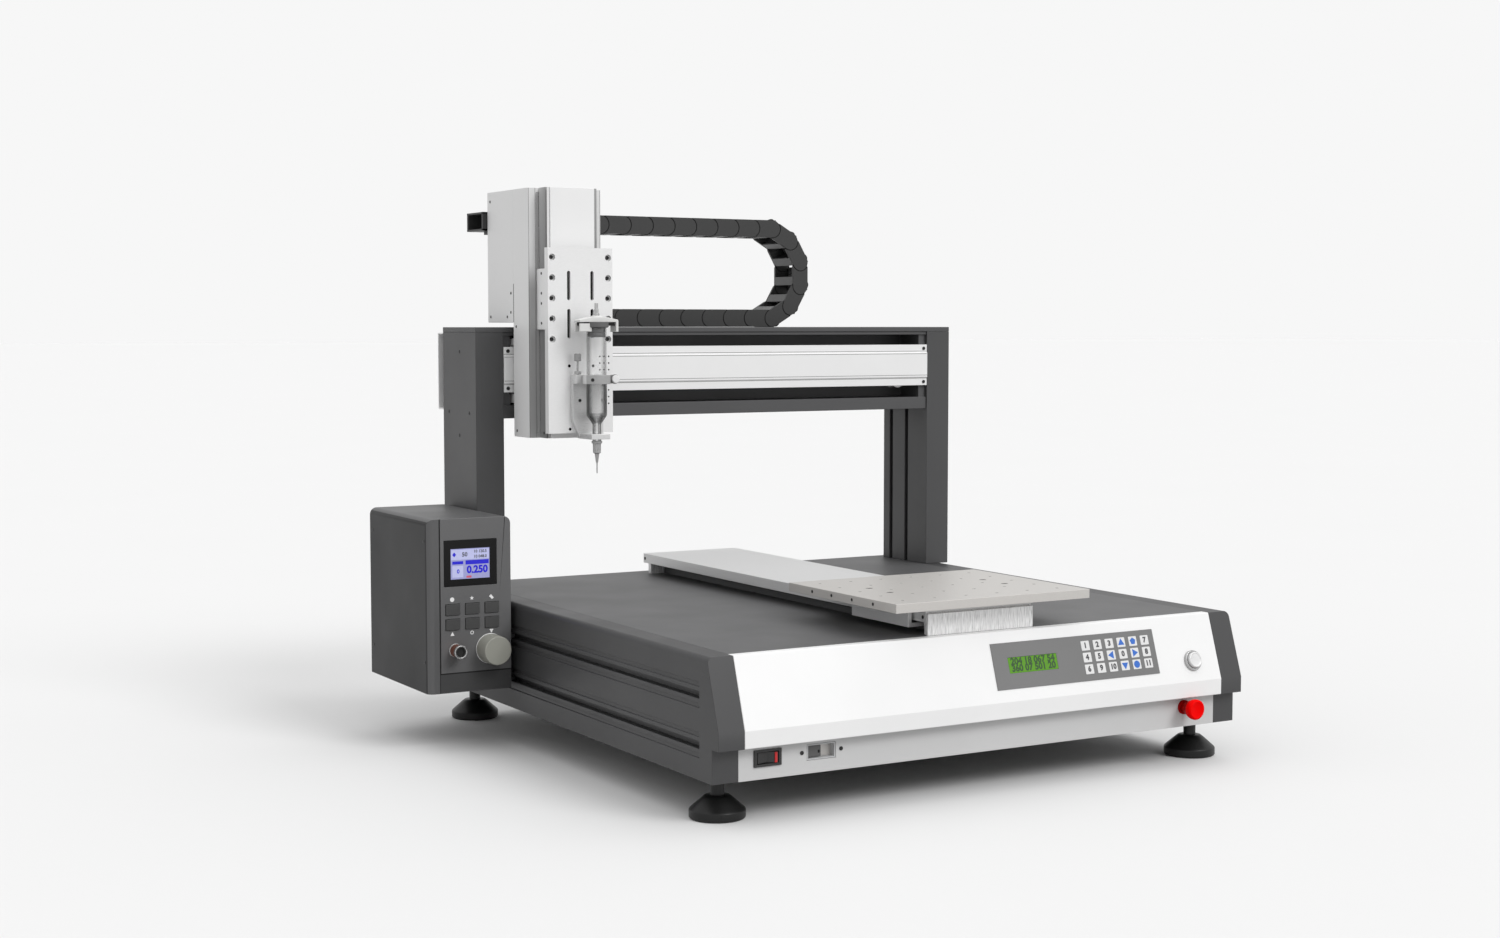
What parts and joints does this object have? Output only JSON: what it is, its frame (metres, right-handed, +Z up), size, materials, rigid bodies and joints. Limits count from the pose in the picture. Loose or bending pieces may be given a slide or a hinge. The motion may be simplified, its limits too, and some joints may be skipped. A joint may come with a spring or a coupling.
{
  "type": "desktop dispensing robot",
  "caption": "Desktop gantry robot that lays adhesive: sliding work plate, head on a beam, Z stage with syringe, energy chain, keypad base and side-hung controller.",
  "frame": {"origin": "on the bench under the middle of the base's footprint", "axes": "+X to the right of someone who stands in front, +Y to the back, +Z up; at rest the head is at the left end of its travel, the work plate at the front and the syringe up"},
  "size_m": [0.8561, 0.7742, 0.7035],
  "materials": {
    "dark_paint": "satin dark grey powder coat",
    "deck_paint": "fine grey powder coat",
    "white_paint": "satin white powder coat",
    "overlay": "printed membrane, grey with white keys",
    "display": "green display",
    "silver": "brushed",
    "rubber": "matt",
    "board": "circuit board",
    "aluminium": "clear anodised",
    "steel": "ground",
    "motor_paint": "black with pale end caps",
    "chain_plastic": "matt black nylon",
    "case_paint": "fine dark grey powder coat",
    "screen": "lavender screen",
    "head_paint": "satin pale grey",
    "clear_plastic": "translucent",
    "white_plastic": "satin",
    "red_plastic": "gloss",
    "black_plastic": "matt",
    "knob_plastic": "satin grey-beige",
    "key_plastic": "dark grey keys"
  },
  "bodies": {
    "base": {"side_frame_left": "dark_paint", "side_frame_right": "dark_paint", "deck_plate": "deck_paint", "base_tray": "dark_paint", "front_shell": "white_paint", "switch_strip": "white_paint", "keypad_overlay": "overlay", "display_module": "display", "panel_fittings": "silver", "levelling_feet": "rubber", "control_electronics": "board", "y_bed": "aluminium", "y_cover": "white_paint", "y_end_plates": "silver", "column_left": "dark_paint", "column_right": "dark_paint", "beam": "dark_paint", "beam_top_plate": "dark_paint", "beam_front_cover": "white_paint", "beam_rear_cover": "white_paint", "guide_rails": "steel", "stepper_motors": "motor_paint", "x_belt": "rubber", "chain_lower": "chain_plastic", "controller_case": "case_paint", "controller_front": "case_paint", "controller_screen": "screen", "air_connector": "silver"},
    "table": {"y_saddle": "aluminium", "work_plate": "aluminium"},
    "head": {"x_saddle": "aluminium", "z_housing": "head_paint", "z_front_cover": "white_paint", "head_cover": "white_paint", "z_motor": "motor_paint", "z_rails": "steel", "chain_upper": "chain_plastic"},
    "chain_turn": {"chain_bend": "chain_plastic"},
    "tool": {"z_carriage": "aluminium", "tool_plate": "aluminium", "syringe_bracket": "aluminium", "syringe_barrel": "clear_plastic", "syringe_adapter": "white_plastic", "dispensing_needle": "steel"},
    "start": {"start_button": "silver"},
    "stop": {"estop_cap": "red_plastic"},
    "rocker": {"power_rocker": "black_plastic"},
    "dial": {"controller_knob": "knob_plastic"},
    "clamp": {"clamp_knob": "white_plastic"},
    "thumb": {"thumb_screw": "steel"},
    "table_screw": {"y_screw": "steel"},
    "tool_screw": {"z_screw": "steel"},
    "drive_pulley": {"x_drive_pulley": "aluminium"},
    "idler_pulley": {"x_idler_pulley": "aluminium"},
    "key_1": {"controller_key_1": "key_plastic"},
    "key_2": {"controller_key_2": "key_plastic"},
    "key_3": {"controller_key_3": "key_plastic"},
    "key_4": {"controller_key_4": "key_plastic"},
    "key_5": {"controller_key_5": "key_plastic"},
    "key_6": {"controller_key_6": "key_plastic"}
  },
  "joints": [
    {"name": "x_slide", "type": "slide", "parent": "base", "child": "head", "axis": [1, 0, 0], "range_m": [0, 0.5], "deforming": ["chain_upper", "chain_lower"]},
    {"name": "y_slide", "type": "slide", "parent": "base", "child": "table", "axis": [0, 1, 0], "range_m": [0, 0.5]},
    {"name": "z_slide", "type": "slide", "parent": "head", "child": "tool", "axis": [0, 0, -1], "range_m": [0, 0.1]},
    {"name": "chain_roll", "type": "slide", "parent": "base", "child": "chain_turn", "axis": [1, 0, 0], "range_m": [0, 0.25]},
    {"name": "x_drive_turn", "type": "hinge", "parent": "base", "child": "drive_pulley", "pos_m": [0.3, 0.2835, 0.45], "axis": [0, 1, 0], "range_deg": [0, 3166]},
    {"name": "x_idler_turn", "type": "hinge", "parent": "base", "child": "idler_pulley", "pos_m": [-0.3, 0.2835, 0.45], "axis": [0, 1, 0], "range_deg": [0, 3166]},
    {"name": "y_screw_turn", "type": "hinge", "parent": "base", "child": "table_screw", "pos_m": [0, 0, 0.14], "axis": [0, -1, 0], "range_deg": [0, 9000]},
    {"name": "z_screw_turn", "type": "hinge", "parent": "head", "child": "tool_screw", "pos_m": [-0.2735, 0.2045, 0.5], "axis": [0, 0, 1], "range_deg": [0, 3600]},
    {"name": "start_press", "type": "slide", "parent": "base", "child": "start", "axis": [0, 0.9517, -0.307], "range_m": [0, 0.003], "stiffness_N_per_m": 400},
    {"name": "estop_press", "type": "slide", "parent": "base", "child": "stop", "axis": [0, 1, 0], "range_m": [0, 0.004]},
    {"name": "rocker_tilt", "type": "hinge", "parent": "base", "child": "rocker", "pos_m": [-0.2975, -0.362, 0.069], "axis": [0, 0, 1], "range_deg": [0, 10]},
    {"name": "knob_turn", "type": "hinge", "parent": "base", "child": "dial", "pos_m": [-0.4015, 0.13, 0.127], "axis": [0, -1, 0], "range_deg": [-150, 150]},
    {"name": "clamp_turn", "type": "hinge", "parent": "tool", "child": "clamp", "pos_m": [-0.2416, 0.11, 0.46125], "axis": [0, -1, 0], "continuous": true},
    {"name": "thumb_turn", "type": "hinge", "parent": "tool", "child": "thumb", "pos_m": [-0.2839, 0.1294, 0.48], "axis": [0, 0, 1], "continuous": true},
    {"name": "key_1_press", "type": "slide", "parent": "base", "child": "key_1", "axis": [0, 1, 0], "range_m": [0, 0.0008], "stiffness_N_per_m": 600},
    {"name": "key_2_press", "type": "slide", "parent": "base", "child": "key_2", "axis": [0, 1, 0], "range_m": [0, 0.0008], "stiffness_N_per_m": 600},
    {"name": "key_3_press", "type": "slide", "parent": "base", "child": "key_3", "axis": [0, 1, 0], "range_m": [0, 0.0008], "stiffness_N_per_m": 600},
    {"name": "key_4_press", "type": "slide", "parent": "base", "child": "key_4", "axis": [0, 1, 0], "range_m": [0, 0.0008], "stiffness_N_per_m": 600},
    {"name": "key_5_press", "type": "slide", "parent": "base", "child": "key_5", "axis": [0, 1, 0], "range_m": [0, 0.0008], "stiffness_N_per_m": 600},
    {"name": "key_6_press", "type": "slide", "parent": "base", "child": "key_6", "axis": [0, 1, 0], "range_m": [0, 0.0008], "stiffness_N_per_m": 600}
  ],
  "couplings": [
    {"joint": "chain_roll", "follows": "x_slide", "ratio": 0.5},
    {"joint": "x_drive_turn", "follows": "x_slide", "rad_per_m": 110.5},
    {"joint": "x_idler_turn", "follows": "x_slide", "rad_per_m": 110.5},
    {"joint": "y_screw_turn", "follows": "y_slide", "rad_per_m": 314.16},
    {"joint": "z_screw_turn", "follows": "z_slide", "rad_per_m": 628.32}
  ]
}
